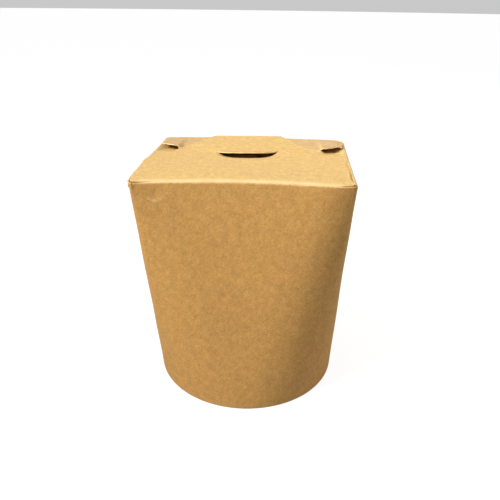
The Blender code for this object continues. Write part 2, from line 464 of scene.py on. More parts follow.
class BoardMesh:
    """Sheets of board gathered into one mesh, and welded where their edges meet."""

    def __init__(self) -> None:
        """Start with no points."""
        self.points: list[np.ndarray] = []
        self.faces: list[np.ndarray] = []
        self.marks: dict[str, list[np.ndarray]] = {"rub": [], "flap": [], "wing": []}
        self.count = 0

    def add_grid(
        self,
        grid: np.ndarray,
        rub: np.ndarray | float = 0.0,
        flap: np.ndarray | float = 1.0,
        leave_out: np.ndarray | None = None,
        wing: float = 0.0,
    ) -> None:
        """Add a sheet whose rows run up or inwards and whose columns run anticlockwise.

        Args:
            grid: Points as rows by columns by x, y, z.
            rub: How scuffed the board is, together with the painted highlight of lit folds and edges,
                for each row and column, from 0 to 1.
            flap: 0 on the walls and 1 on the flaps of the closed top, for each row and column; it sets
                the paler colour that paints light from above onto the top.
            leave_out: True for each face of the grid that stays open.
            wing: 1 on the rear flap, whose darker, greyer colour is painted shade and a painted
                reflection.
        """
        rows, columns = grid.shape[:2]
        number = np.arange(rows * columns).reshape(rows, columns)
        quads = np.stack(
            [number[:-1, :-1], number[:-1, 1:], number[1:, 1:], number[1:, :-1]], axis=-1
        )
        quads = quads[~leave_out] if leave_out is not None else quads.reshape(-1, 4)
        self.points.append(grid.reshape(-1, 3))
        self.faces.append(quads + self.count)
        for key, values in (("rub", rub), ("flap", flap), ("wing", wing)):
            self.marks[key].append(np.broadcast_to(values, (rows, columns)).reshape(-1))
        self.count += rows * columns

    def make(self, name: str) -> bpy.types.Mesh:
        """Weld the sheets into one mesh.

        Args:
            name: The mesh's name.

        Returns:
            The mesh, with its rub and flap values as point attributes.
        """
        mesh = bpy.data.meshes.new(name)
        points = np.concatenate(self.points)
        faces = np.concatenate(self.faces)
        mesh.from_pydata(points.tolist(), [], faces.tolist())
        for key, values in self.marks.items():
            layer = mesh.attributes.new(key, "FLOAT", "POINT")
            layer.data.foreach_set("value", np.concatenate(values).astype(np.float32))
        work = bmesh.new()
        work.from_mesh(mesh)
        weld = 0.004 * MM
        bmesh.ops.remove_doubles(work, verts=work.verts, dist=weld)
        loose = [vertex for vertex in work.verts if not vertex.link_faces]
        bmesh.ops.delete(work, geom=loose, context="VERTS")
        work.to_mesh(mesh)
        work.free()
        return mesh


@dataclass(frozen=True)
class Lid:
    """Edges and heights of the flaps of the closed top, in millimetres over the folds.

    The rear flap's wings lie over the shoulders of the front flap, and the front flap's tongue
    lies over the rear flap. They cross at the two notches.
    """

    notch_left: float = -36.0
    notch_right: float = 34.4
    notch_y: float = 16.0
    tongue_end_y: float = 38.4
    slit_end_y: float = 10.6
    slit_left: float = -15.8
    slit_right: float = 14.1
    slit_bow: float = 6.0
    slit_lift: float = 1.3
    slit_dip: float = 1.75
    serif_y: float = 13.0
    serif_end: float = 19.8
    serif_lift: float = 0.14
    climb: float = 1.0
    shoulder_dip: float = 1.1
    wing_lift: float = 1.8
    tail_rows: int = 6
    tail_step: float = 1.1
    tail_fall: float = 0.12
    lift_fade: float = 14.0
    rise_fade: float = 46.0
    stack: float = 0.6
    end_lift: float = 0.3

    def left_edge(self, y: float, fold_x: float) -> float:
        """Return the front flap's left edge, which steps in at a small notch.

        Args:
            y: How far back.
            fold_x: Where the front fold ends on this side.

        Returns:
            The edge's x.
        """
        places = ((-38, fold_x), (-35, -49.4), (-26, -49.2), (-14, -48.9), (-8.4, -49.5))
        return float(through(y, *places, (-5, -49.1), (-2, -48.5), (16, -47.3), (24, -46.9)))

    def right_edge(self, y: float, fold_x: float) -> float:
        """Return the front flap's right edge, which stops short of the side fold in front.

        Args:
            y: How far back.
            fold_x: Where the front fold ends on this side.

        Returns:
            The edge's x.
        """
        places = ((-37, fold_x), (-31, 45.4), (-20, 46.0), (-4, 46.1), (1.5, 47.7))
        return float(through(y, *places, (16, 47.4), (24, 46.5)))

    def tongue_left(self, y: np.ndarray | float) -> np.ndarray:
        """Return the tongue's left edge, from the notch to its free end."""
        return through(y, (16, self.notch_left), (17.2, -34.0), (27.2, -27.2), (38.4, -20.0))

    def tongue_right(self, y: np.ndarray | float) -> np.ndarray:
        """Return the tongue's right edge, which is a little rounded."""
        return through(
            y, (16, self.notch_right), (19.2, 28.7), (24, 23.6), (31, 20.4), (38.4, 15.2)
        )

    def slit_shape(self, x: np.ndarray) -> np.ndarray:
        """Return 0 at the slit's ends and 1 at its middle, as a rounded arch."""
        middle = (self.slit_left + self.slit_right) / 2
        half = (self.slit_right - self.slit_left) / 2
        reach = np.clip(np.abs((x - middle) / half), 0.0, 1.0)
        return (1.0 - reach**2.6) ** 0.62

    def serif_shape(self, x: np.ndarray) -> np.ndarray:
        """Return 0 at the ends of the short cut that goes on from the slit, 1 between."""
        share = (x - self.slit_right) / (self.serif_end - self.slit_right)
        return arch(np.clip(share, 0.0, 1.0))

    def slit_y(self, x: np.ndarray) -> np.ndarray:
        """Return the line of the slit, and of the row of points that goes on past its ends."""
        ends = through(
            x,
            (-24, self.slit_end_y),
            (self.slit_left, self.slit_end_y),
            (self.slit_right, self.serif_y),
            (16.6, self.serif_y),
            (self.serif_end, 10.4),
            (26, self.slit_end_y),
        )
        return ends - self.slit_bow * self.slit_shape(x)

    def flap_height(self, x: np.ndarray, y: np.ndarray) -> np.ndarray:
        """Return the front flap's height up to the notches, without its slit and its fold."""
        off = np.abs(x)
        inner = 1.0 - smooth((off - 14.0) / 22.0)
        climb = self.climb * inner * smooth((y - 8.0) / 8.5)
        crossing = 0.3 * np.exp(-(((off - 35.2) / 2.4) ** 2)) * smooth((y - 9.0) / 7.0)
        shoulder = self.shoulder_dip * smooth((off - 35.8) / 2.2) * smooth((y - 8.0) / 8.0)
        return climb + crossing - shoulder

    def tongue_edge_lift(self, x: np.ndarray, y: np.ndarray) -> np.ndarray:
        """Return how far the board behind the slit stands up."""
        back = self.slit_y(x)
        fade = 1.0 - smooth((y - back) / (self.notch_y - back))
        return (self.slit_lift * self.slit_shape(x) + self.serif_lift * self.serif_shape(x)) * fade

    def lip_dip(self, x: np.ndarray, y: np.ndarray) -> np.ndarray:
        """Return how far the lip in front of the slit is pressed down."""
        fade = 1.0 - smooth((self.slit_y(x) - y) / 6.5)
        return self.slit_dip * self.slit_shape(x) * fade

    def wing_edge_y(self, x: np.ndarray) -> np.ndarray:
        """Return the rear flap's free edge."""
        reach = np.where(x < 0, 3.6, 4.8)
        return 15.6 + reach * smooth((np.abs(x) - 38.0) / 9.0)

    def wing_edge_height(self, x: np.ndarray) -> np.ndarray:
        """Return how high the rear flap's free edge stands, lowest at the notches."""
        off = np.abs(x)
        outer = 0.7 * smooth((off - 44.0) / 3.5)
        at_notch = (self.wing_lift - 0.35) * (1.0 - smooth((off - 34.8) / 2.0))
        return self.wing_lift - np.maximum(outer, at_notch)

    def tongue_height(self, x: np.ndarray, y: np.ndarray, rear: np.ndarray) -> np.ndarray:
        """Return the tongue's height over the rear flap.

        Args:
            x: Where, across.
            y: Where, front to back.
            rear: The height of the rear fold at each x.

        Returns:
            The height over the folds.
        """
        back_share = np.clip((37.0 - y) / (37.0 - self.notch_y), 0.0, 1.0)
        lying = mix(rear, 0.35, back_share) + self.stack
        lying = lying + self.end_lift * smooth((x + 12.0) / 26.0) * smooth((y - 27.0) / 11.0)
        root = self.flap_height(x, np.full_like(x, self.notch_y))
        return mix(root, lying, smooth((y - self.notch_y) / 6.0))

    def wing_height(self, x: np.ndarray, y: np.ndarray, rear: np.ndarray) -> np.ndarray:
        """Return the rear flap's height, which dips under the tongue."""
        edge_y = self.wing_edge_y(x)
        share = np.clip((37.0 - y) / (37.0 - edge_y), 0.0, 1.0)
        free = mix(rear, self.wing_edge_height(x), share)
        inside = np.minimum(x - self.tongue_left(y), self.tongue_right(y) - x)
        under = self.tongue_height(x, y, rear) - self.stack
        return mix(free, under, smooth((inside + 1.2) / 1.4))


@dataclass(frozen=True)
class WallMarks:
    """Small marks of handling in the walls: a pressed smile, a dent, score lines and waviness.

    Places are in millimetres: across at the front fold, and down the wall from it.
    """

    smile_middle: float = -38.9
    smile_reach: float = 3.6
    smile_down: float = 7.7
    smile_lift: float = 1.7
    smile_height: float = 0.4
    dent_place: tuple[float, float] = (-37.6, 3.4)
    dent_size: float = 1.3
    dent_depth: float = 0.3
    score_depth: float = 0.04
    score_length: float = 26.0
    wave: float = 0.16

    def press(
        self, grid: np.ndarray, below: np.ndarray, outlines: Outlines
    ) -> tuple[np.ndarray, np.ndarray]:
        """Move the walls' points in and out along their normals.

        Args:
            grid: The walls' points, as rows by columns.
            below: How far each point is below its fold.
            outlines: The columns, for where each side starts.

        Returns:
            The moved points, and how rubbed each one is.
        """
        along = np.roll(grid[:, :-1], -1, axis=1) - np.roll(grid[:, :-1], 1, axis=1)
        along = np.concatenate([along, along[:, :1]], axis=1)
        up = np.gradient(grid, axis=0)
        normal = np.cross(along, up)
        normal /= np.linalg.norm(normal, axis=2)[:, :, None]
        tops, _ = outlines.ring()
        x = tops[None, :, 0] / MM
        down = below / MM
        front = np.zeros(grid.shape[1])
        first = outlines.fineness.corner_columns
        last = first + outlines.fineness.wide_columns
        front[first : last + 1] = 1.0

        reach = (x - self.smile_middle) / self.smile_reach
        line = self.smile_down - self.smile_lift * reach**2
        smile = np.exp(-(((down - line) / 0.45) ** 2)) * np.clip(1.0 - reach**4, 0.0, 1.0) * front
        dent_x, dent_down = self.dent_place
        apart = np.hypot(x - dent_x, (down - dent_down) / 1.5) / self.dent_size
        dent = np.exp(-(apart**2)) * front
        score = np.zeros(grid.shape[:2])
        fade = np.clip(1.0 - down / self.score_length, 0.0, 1.0)
        for column in (first, last):
            score[:, column] = fade[:, column]
        turn = np.arctan2(grid[:, :, 1], grid[:, :, 0])
        level = grid[:, :, 2] / MM
        wave = np.sin(3.0 * turn + 0.09 * level) * np.sin(0.055 * level + 1.4 * np.sin(2.0 * turn))
        held = smooth(down / 18.0) * smooth((level - 1.0) / 14.0)
        joined = smooth(down / 1.2)
        height = (
            self.smile_height * smile
            - self.dent_depth * dent
            - self.score_depth * score
            + self.wave * wave * held
        )
        rub = np.maximum(0.55 * smile, 0.2 * score)
        return grid + normal * (height * joined)[:, :, None] * MM, rub


@dataclass(frozen=True)
class ThreeRuns:
    """Columns of the front flap in three runs: left shoulder, tongue and right shoulder."""

    fold_x: np.ndarray
    first: int
    last: int

    def across(self, *breaks: float) -> np.ndarray:
        """Spread the columns between the left edge, the two notches' lines and the right edge.

        Args:
            breaks: The left edge, the left line, the right line and the right edge.

        Returns:
            One x for each column.
        """
        anchors = self.fold_x[[0, self.first, self.last, -1]]
        return np.interp(self.fold_x, anchors, breaks)

    def tongue(self, start: float, end: float) -> np.ndarray:
        """Spread the tongue's own columns between its two edges."""
        own = self.fold_x[self.first : self.last + 1]
        return mix(start, end, (own - own[0]) / (own[-1] - own[0]))


@dataclass
class Blank:
    """The folded blank: walls, turned-in foot, folds and flaps, as one sheet of board."""

    sizes: CartonSizes
    fineness: Fineness
    outlines: Outlines
    lid: Lid
    board: BoardMesh = field(default_factory=BoardMesh)

    def build(self) -> bpy.types.Mesh:
        """Build every sheet of the blank.

        Returns:
            The outer face of the blank, welded into one mesh.
        """
        self._walls()
        self._foot()
        self._front_flap()
        self._rear_flap()
        for side in (Side.RIGHT, Side.LEFT):
            self._side_flap(side)
        for index in range(4):
            self._corner_web(index)
        return self.board.make("carton_blank")

    def _walls(self) -> None:
        """Rule the walls between the foot and the folds."""
        tops, feet = self.outlines.ring()
        guides = []
        for name, ring in (("foot_outline", feet), ("fold_outline", tops)):
            mesh = bpy.data.meshes.new(name)
            mesh.from_pydata(ring.tolist(), [], [])
            guides.append(bpy.data.objects.new(name, mesh))
            bpy.context.scene.collection.objects.link(guides[-1])
        plain = bpy.data.materials.new("unfinished_board")
        tree = sleeve_tree()
        values = {
            "Foot": guides[0],
            "Fold": guides[1],
            "Columns": len(tops),
            "Rows": self.fineness.wall_rows,
            "Row Crowding": 0.65,
            "Material": plain,
        }
        made = tree.make_mesh("walls", bpy.data.meshes.new("nothing"), values)
        for guide in guides:
            bpy.data.objects.remove(guide, do_unlink=True)
        points = np.empty(len(made.vertices) * 3)
        made.vertices.foreach_get("co", points)
        grid = points.reshape(len(tops), self.fineness.wall_rows, 3).transpose(1, 0, 2)
        below = tops[None, :, 2] - grid[:, :, 2]
        # Paler just below each fold: a painted highlight that runs on down from the fold's crest.
        rub = 0.15 * np.exp(-below / (0.45 * MM))
        grid, marked = WallMarks().press(grid, below, self.outlines)
        self.board.add_grid(grid, np.maximum(rub, marked), 0.0)

    def _foot(self) -> None:
        """Turn the walls' lower edge in and up round the base panel's skirt."""
        _, feet = self.outlines.ring()
        middle_of_foot = np.array([0.0, -self.sizes.foot_forward])
        direction = (feet[:, :2] - middle_of_foot) / self.sizes.foot_radius
        bend = self.sizes.hem_width / 2
        middle = self.sizes.foot_radius - bend
        radii = []
        levels = []
        for level in np.linspace(self.sizes.hem_height, bend, 4)[:-1]:
            radii.append(middle - bend)
            levels.append(level)
        for turn in np.linspace(math.pi, 0.0, 10):
            radii.append(middle + bend * math.cos(turn))
            levels.append(bend - bend * math.sin(turn))
        grid = np.empty((len(radii), len(feet), 3))
        grid[:, :, :2] = middle_of_foot + np.array(radii)[:, None, None] * direction[None]
        grid[:, :, 2] = np.array(levels)[:, None]
        rub = np.exp(-np.array(levels) / (0.5 * MM))[:, None]
        self.board.add_grid(grid, 0.5 * rub, 0.0)

    def _fold(self, span: Span, groove: np.ndarray | None = None) -> np.ndarray:
        """Bend the board over a fold.

        Args:
            span: The columns that the fold crosses.
            groove: How deep a groove runs along the fold at each column, if any.

        Returns:
            Rows of points from the wall's top to the fold's crest.
        """
        radius = self.sizes.fold_radius
        share = np.linspace(0.0, 1.0, self.fineness.fold_rows + 1)[:, None]
        inset = radius * share * (1.0 - span.flare[None, :])
        profile = radius * (1.0 - (1.0 - share) ** self.sizes.fold_roundness)
        rise = np.repeat(profile, len(span.share), axis=1)
        if groove is not None:
            away = np.abs(share - self.sizes.groove_share) / self.sizes.groove_reach
            depth = groove[None, :] * np.clip(1.0 - away, 0.0, 1.0)
            inset = inset + depth
            rise = rise - self.sizes.groove_fall * depth
        grid = np.empty((len(share), len(span.share), 3))
        grid[:, :, :2] = span.top[None, :, :2] + inset[:, :, None] * span.inward[None]
        grid[:, :, 2] = span.top[None, :, 2] + rise
        return grid

    def _add_fold(
        self,
        fold: np.ndarray,
        rub: np.ndarray | float = 1.0,
        leave_out: np.ndarray | None = None,
    ) -> None:
        """Add a fold, palest along its middle, from scuffing and a painted highlight together, and
        turning from wall to flap.

        Args:
            fold: The fold's points.
            rub: How scuffed the fold is, with its painted highlight, for each column.
            leave_out: True for each face that stays open.
        """
        along = np.linspace(0.0, 1.0, len(fold))[:, None]
        # Palest along the crest: scuffing together with a painted highlight; the flap's painted top
        # light starts part way across.
        across = 0.55 + 0.45 * np.sin(math.pi * along)
        self.board.add_grid(fold, across * rub, smooth((along - 0.15) / 0.6), leave_out)

    def _front_grooves(self, x: np.ndarray) -> np.ndarray:
        """Return the depth of the grooves where the front fold opens towards its corners."""
        left = smooth((-34.5 * MM - x) / (10.0 * MM)) * smooth((x + 48.5 * MM) / (2.0 * MM))
        right = smooth((x - 37.5 * MM) / (8.0 * MM))
        return self.sizes.groove_depth * np.maximum(left, right)

    def _front_flap(self) -> None:
        """Lay the front flap back from its fold, with its slit, shoulders and tongue."""
        lid = self.lid
        span = self.outlines.sides[Side.FRONT.value]
        fold = self._fold(span, self._front_grooves(span.top[:, 0]))
        fold_x = span.top[:, 0] / MM
        # The fold's pale band of scuffing and painted highlight fades before the right corner.
        self._add_fold(fold, 1.0 - 0.6 * smooth((fold_x - 39.0) / 4.0))
        edge = fold[-1] / MM
        crest = edge[:, 2] - self.sizes.fold_height / MM
        rise = self.sizes.front_rise / MM * arch(span.share) ** 1.4
        lift = crest - rise
        first = int(np.argmin(np.abs(edge[:, 0] - lid.notch_left)))
        last = int(np.argmin(np.abs(edge[:, 0] - lid.notch_right)))
        columns = ThreeRuns(edge[:, 0], first, last)
        start_y = float(edge[0, 1])

        def fold_height(y: np.ndarray) -> np.ndarray:
            """Return what is left of the fold's arch further back."""
            near = 1.0 - smooth((y - start_y) / lid.lift_fade)
            far = 1.0 - smooth((y - start_y) / lid.rise_fade)
            return lift * near + rise * far

        def spread(level: float) -> np.ndarray:
            """Return the x of every column at one distance back."""
            return columns.across(
                lid.left_edge(level, edge[0, 0]),
                float(through(level, (start_y, edge[first, 0]), (lid.notch_y, lid.notch_left))),
                float(through(level, (start_y, edge[last, 0]), (lid.notch_y, lid.notch_right))),
                lid.right_edge(level, edge[-1, 0]),
            )

        def place(x: np.ndarray, y: np.ndarray, height: np.ndarray) -> np.ndarray:
            """Return points in metres from millimetres over the folds."""
            z = height + self.sizes.fold_height / MM
            return np.stack([x, y, z], axis=-1) * MM

        front_rows = []
        for share in np.linspace(0.0, 1.0, self.fineness.front_rows + 1) ** 0.9:
            level = mix(start_y, lid.slit_end_y, share)
            x = spread(level)
            y = mix(edge[:, 1], lid.slit_y(x), share)
            height = fold_height(y) + lid.flap_height(x, y) - lid.lip_dip(x, y)
            front_rows.append(place(x, y, height))
        front_rows[0] = fold[-1]
        # The first rows behind the fold carry on its scuffing and painted highlight.
        rub = np.zeros((len(front_rows), len(edge)))
        rub[:3] = np.array([0.55, 0.2, 0.05])[:, None] * (1.0 - 0.6 * smooth((fold_x - 39.0) / 4.0))
        self.board.add_grid(np.array(front_rows), rub)

        back_rows = []
        for share in np.linspace(0.0, 1.0, self.fineness.slit_rows + 1):
            level = mix(lid.slit_end_y, lid.notch_y, share)
            x = spread(level)
            y = mix(lid.slit_y(x), lid.notch_y, share)
            height = fold_height(y) + lid.flap_height(x, y) + lid.tongue_edge_lift(x, y)
            back_rows.append(place(x, y, height))
        self.board.add_grid(np.array(back_rows))

        rear_x, rear_height = self.rear_fold_heights()
        tongue_rows = []
        for share in np.linspace(0.0, 1.0, self.fineness.tongue_rows + 1) ** 1.3:
            level = mix(lid.notch_y, lid.tongue_end_y, share)
            ends = (lid.tongue_left(level), lid.tongue_right(level))
            x = columns.tongue(*ends)
            y = np.full_like(x, level)
            rear = np.interp(x, rear_x, rear_height)
            tongue_rows.append(place(x, y, lid.tongue_height(x, y, rear)))
        tongue_rows[0] = back_rows[-1][first : last + 1]
        self.board.add_grid(np.array(tongue_rows))

        for run in (slice(0, first + 1), slice(last, len(edge))):
            rows = [back_rows[-1][run]]
            for step in range(1, lid.tail_rows + 1):
                row = rows[0].copy()
                row[:, 1] += lid.tail_step * MM * step
                row[:, 2] -= lid.tail_fall * MM * step
                rows.append(row)
            self.board.add_grid(np.array(rows))

    def rear_fold_heights(self) -> tuple[np.ndarray, np.ndarray]:
        """Return x and the rear fold's height over the folds, left to right, in millimetres."""
        top = self.outlines.sides[Side.REAR.value].top[::-1] / MM
        height = top[:, 2] + (self.sizes.fold_radius - self.sizes.fold_height) / MM
        return top[:, 0], height

    def _rear_flap(self) -> None:
        """Lay the rear flap forward from its fold to its free edge."""
        lid = self.lid
        span = self.outlines.sides[Side.REAR.value]
        fold = self._fold(span)
        self._add_fold(fold)
        edge = fold[-1] / MM
        start_y = float(edge[0, 1])
        crest = edge[:, 2] - self.sizes.fold_height / MM
        rows = []
        for share in np.linspace(0.0, 1.0, self.fineness.rear_rows + 1):
            level = mix(start_y, 16.0, share)
            right = through(level, (19, 47.0), (26, 48.0), (32, 47.4), (37, edge[0, 0]))
            left = through(level, (19, -46.2), (26, -46.7), (33, -46.5), (37, edge[-1, 0]))
            x = mix(right, left, span.share)
            y = mix(edge[:, 1], lid.wing_edge_y(x), share)
            z = lid.wing_height(x, y, crest) + self.sizes.fold_height / MM
            rows.append(np.stack([x, y, z], axis=-1) * MM)
        rows[0] = fold[-1]
        # Paler behind the fold and along the free edge: scuffing, and a painted highlight on the lit
        # cut edge.
        rub = np.zeros((len(rows), len(edge)))
        rub[:2] = np.array([0.45, 0.15])[:, None]
        rub[-1] = 0.5
        self.board.add_grid(np.array(rows), rub, wing=1.0)

    def _side_flap(self, side: Side) -> None:
        """Turn a side flap in under the large flaps, the left one over the right one.

        Args:
            side: The right or the left.
        """
        span = self.outlines.sides[side.value]
        fold = self._fold(span)
        self._add_fold(fold, 0.7)
        rows = [fold[-1]]
        free_edge = (47.0, 4.2) if side is Side.RIGHT else (51.0, 2.9)
        for reach, drop in ((0.6, 0.06), (1.4, 0.3), (3.0, 1.0), (8.0, 2.0), free_edge):
            row = fold[-1].copy()
            row[:, :2] += span.inward * reach * MM
            row[:, 2] -= drop * MM
            middle = row[:, 1].mean()
            row[:, 1] = middle + (row[:, 1] - middle) * (1.0 - 0.05 * smooth(reach / 6.0))
            rows.append(row)
        self.board.add_grid(np.array(rows))

    def _corner_web(self, index: int) -> None:
        """Close a corner of the top, with a pinhole at a front one where the webs meet."""
        span = self.outlines.corners[index]
        fold = self._fold(span)
        open_faces = np.zeros((len(fold) - 1, len(span.share) - 1), dtype=bool)
        if index == 0:
            open_faces[2:, 5:22] = True
        elif index == 1:
            open_faces[2:13, 0:15] = True
        self._add_fold(fold, 0.8, open_faces)
        rows = [fold[-1]]
        for reach, drop in ((0.3, 0.1), (0.45, 0.5), (0.5, 3.0)):
            row = fold[-1].copy()
            row[:, :2] += span.inward * reach * MM
            row[:, 2] -= drop * MM
            rows.append(row)
        behind = np.zeros((len(rows) - 1, len(span.share) - 1), dtype=bool)
        behind[:] = open_faces.any(axis=0)
        self.board.add_grid(np.array(rows), leave_out=behind)


@dataclass(frozen=True)
class BasePanel:
    """The round panel inside the foot: a flat disc with a pressed ring and a skirt."""

    sizes: CartonSizes
    sides: int = 160
    ring_share: float = 0.86
    ring_depth: float = 0.22 * MM
    skirt_gap: float = 0.12 * MM
    bend: float = 0.9 * MM

    def profile(self) -> list[tuple[float, float]]:
        """Return the underside's radius and height, from the middle out and down the skirt."""
        outer = self.sizes.foot_radius - self.sizes.hem_width - self.skirt_gap
        level = self.sizes.panel_height
        points = [(outer * share, level) for share in (0.0, 0.12, 0.3, 0.5, 0.68, 0.78)]
        for share in np.linspace(0.80, 0.92, 13):
            dip = math.cos((share - self.ring_share) / 0.06 * math.pi / 2) ** 2
            points.append((outer * share, level + self.ring_depth * dip))
        for turn in np.linspace(0.0, math.pi / 2, 7):
            radius = outer - self.bend + self.bend * math.sin(turn)
            points.append((radius, level - self.bend * (1.0 - math.cos(turn))))
        points.append((outer, 2.0 * MM))
        points.append((outer, 0.9 * MM))
        return points

    def build(self) -> bpy.types.Mesh:
        """Turn the profile into a mesh whose faces look down and in.

        Returns:
            The panel's lower face, ready for a board's thickness.
        """
        work = bmesh.new()
        turns = np.linspace(0.0, math.tau, self.sides, endpoint=False)
        forward = self.sizes.foot_forward
        rings = []
        for radius, level in self.profile():
            if radius == 0.0:
                rings.append([work.verts.new((0.0, -forward, level))] * self.sides)
                continue
            rings.append(
                [
                    work.verts.new(
                        (radius * math.cos(turn), radius * math.sin(turn) - forward, level)
                    )
                    for turn in turns
                ]
            )
        for inner, outer in zip(rings, rings[1:]):
            for here in range(self.sides):
                after = (here + 1) % self.sides
                corners = [inner[here], inner[after], outer[after], outer[here]]
                work.faces.new(list(dict.fromkeys(corners)))
        mesh = bpy.data.meshes.new("base_panel_disc")
        work.to_mesh(mesh)
        work.free()
        return mesh


def knurl_tree() -> NodeTree:
    """Build the tree that sets short upright ribs round a circle."""
    tree = NodeTree("rim_ribs")
    radius = tree.add_input("Radius", "NodeSocketFloat")
    level = tree.add_input("Level", "NodeSocketFloat")
    forward = tree.add_input("Forward", "NodeSocketFloat")
    count = tree.add_input("Count", "NodeSocketInt")
    length = tree.add_input("Rib Length", "NodeSocketFloat")
    width = tree.add_input("Rib Width", "NodeSocketFloat")
    material = tree.add_input("Material", "NodeSocketMaterial")
    circle = tree.node(
        "GeometryNodeMeshCircle", {"Vertices": count, "Radius": radius}, fill_type="NONE"
    )
    back = tree.maths("MULTIPLY", forward, -1.0)
    raised = tree.node("ShaderNodeCombineXYZ", {"Y": back, "Z": level})
    moved = tree.node(
        "GeometryNodeSetPosition", {"Geometry": circle.outputs[0], "Offset": raised.outputs[0]}
    )
    rib = tree.node(
        "GeometryNodeMeshUVSphere", {"Segments": 8, "Rings": 6, "Radius": 1.0}
    )
    size = tree.node("ShaderNodeCombineXYZ", {"X": width, "Y": width, "Z": length})
    half = tree.node("ShaderNodeVectorMath", {0: size.outputs[0], "Scale": 0.5}, operation="SCALE")
    shaped = tree.node(
        "GeometryNodeTransform", {"Geometry": rib.outputs[0], "Scale": half.outputs[0]}
    )
    placed = tree.node(
        "GeometryNodeInstanceOnPoints",
        {"Points": moved.outputs[0], "Instance": shaped.outputs[0]},
    )
    tree.finish(placed.outputs[0], material)
    return tree


# ---------------------------------------------------------------------------
# Finishes
# ---------------------------------------------------------------------------


class ShaderTree:
    """Short calls for adding and joining shader nodes in a material or a group."""

    def __init__(self, tree: bpy.types.NodeTree) -> None:
        """Hold the tree that nodes go into."""
        self.tree = tree

    def node(self, kind: str, links: dict | None = None, **settings: object) -> bpy.types.Node:
        """Add a node.

        Args:
            kind: The node's type.
            links: Sockets or values for its inputs, by name or number.
            settings: Properties to set on the node.

        Returns:
            The new node.
        """
        made = self.tree.nodes.new(kind)
        for key, value in settings.items():
            setattr(made, key, value)
        for key, value in (links or {}).items():
            if isinstance(value, bpy.types.NodeSocket):
                self.tree.links.new(value, made.inputs[key])
            else:
                made.inputs[key].default_value = value
        return made

    def maths(self, operation: str, *values: object, clamp: bool = False) -> bpy.types.NodeSocket:
        """Add a Math node and return its result."""
        made = self.node(
            "ShaderNodeMath", dict(enumerate(values)), operation=operation, use_clamp=clamp
        )
        return made.outputs[0]

    def ramp(self, value: bpy.types.NodeSocket, low: float, high: float) -> bpy.types.NodeSocket:
        """Turn low..high into 0..1, eased and held."""
        made = self.node(
            "ShaderNodeMapRange",
            {"Value": value, "From Min": low, "From Max": high},
            interpolation_type="SMOOTHSTEP",
        )
        return made.outputs[0]

    def blend(self, share: object, start: object, end: object) -> bpy.types.NodeSocket:
        """Mix two colours."""
        made = self.node(
            "ShaderNodeMix", {"Factor": share, 6: start, 7: end}, data_type="RGBA"
        )
        return made.outputs[2]


class ShaderGroup(ShaderTree):
    """A shader node group with named inputs and outputs."""

    def __init__(self, name: str, inputs: dict[str, float], outputs: Sequence[str]) -> None:
        """Make the group's sockets.

        Args:
            name: The group's name.
            inputs: Default value of each number that goes in.
            outputs: Names of the numbers that come out.
        """
        super().__init__(bpy.data.node_groups.new(name, "ShaderNodeTree"))
        for key, value in inputs.items():
            made = self.tree.interface.new_socket(key, in_out="INPUT", socket_type="NodeSocketFloat")
            made.default_value = value
        for key in outputs:
            self.tree.interface.new_socket(key, in_out="OUTPUT", socket_type="NodeSocketFloat")
        self.entry = self.tree.nodes.new("NodeGroupInput")
        self.exit = self.tree.nodes.new("NodeGroupOutput")

    def give(self, **values: bpy.types.NodeSocket) -> None:
        """Join results to the outputs of the same names."""
        for key, value in values.items():
            self.tree.links.new(value, self.exit.inputs[key.replace("_", " ")])


def fibre_grain_group() -> ShaderGroup:
    """Build the look of unbleached paper fibre: clouds, crossing strands, specks and relief."""
    group = ShaderGroup(
        "fibre_grain",
        {"Cloud Scale": 330.0, "Strand Scale": 1800.0, "Speck Scale": 900.0, "Speck Share": 0.03},
        ("Clouds", "Strands", "Specks", "Height"),
    )
    place = group.node("ShaderNodeTexCoord").outputs["Object"]
    clouds = group.node(
        "ShaderNodeTexNoise",
        {"Vector": place, "Scale": group.entry.outputs["Cloud Scale"], "Detail": 3.0},
    ).outputs[0]
    lying = []
    for turns in ((0.3, 0.5, 0.4), (-0.5, -0.7, 1.2), (0.2, 1.3, -0.6)):
        turned = group.node(
            "ShaderNodeMapping",
            {"Vector": place, "Rotation": turns, "Scale": (1.0, 1.0, 4.0)},
            vector_type="TEXTURE",
        ).outputs[0]
        lying.append(
            group.node(
                "ShaderNodeTexNoise",
                {
                    "Vector": turned,
                    "Scale": group.entry.outputs["Strand Scale"],
                    "Detail": 2.0,
                    "Distortion": 0.4,
                },
            ).outputs[0]
        )
    bright = group.maths("MAXIMUM", lying[0], lying[1])
    strands = group.maths("SUBTRACT", bright, group.maths("MULTIPLY", lying[2], 0.6))
    strands = group.maths("ADD", strands, 0.25)
    cells = group.node(
        "ShaderNodeTexVoronoi", {"Vector": place, "Scale": group.entry.outputs["Speck Scale"]}
    )
    near = group.ramp(cells.outputs["Distance"], 0.30, 0.12)
    chance = group.node("ShaderNodeSeparateColor", {0: cells.outputs["Color"]})
    dark = group.maths("LESS_THAN", chance.outputs[0], group.entry.outputs["Speck Share"])
    group.give(
        Clouds=clouds,
        Strands=strands,
        Specks=group.maths("MULTIPLY", near, dark),
        Height=strands,
    )
    return group


def wear_and_highlight_group() -> ShaderGroup:
    """Build the pale marks of folded board, scuffing and painted highlight together, broken up so that
    no line is even.
    """
    group = ShaderGroup("edge_wear", {"Break Up": 0.3, "Scale": 160.0}, ("Wear",))
    place = group.node("ShaderNodeTexCoord").outputs["Object"]
    rub = group.node("ShaderNodeAttribute", attribute_name="rub").outputs["Fac"]
    patchy = group.node(
        "ShaderNodeTexNoise",
        {"Vector": place, "Scale": group.entry.outputs["Scale"], "Detail": 3.0},
    ).outputs[0]
    missing = group.maths("MULTIPLY", group.ramp(patchy, 0.35, 0.75), group.entry.outputs["Break Up"])
    kept = group.maths("SUBTRACT", 1.0, missing)
    group.give(Wear=group.maths("MULTIPLY", rub, kept, clamp=True))
    return group


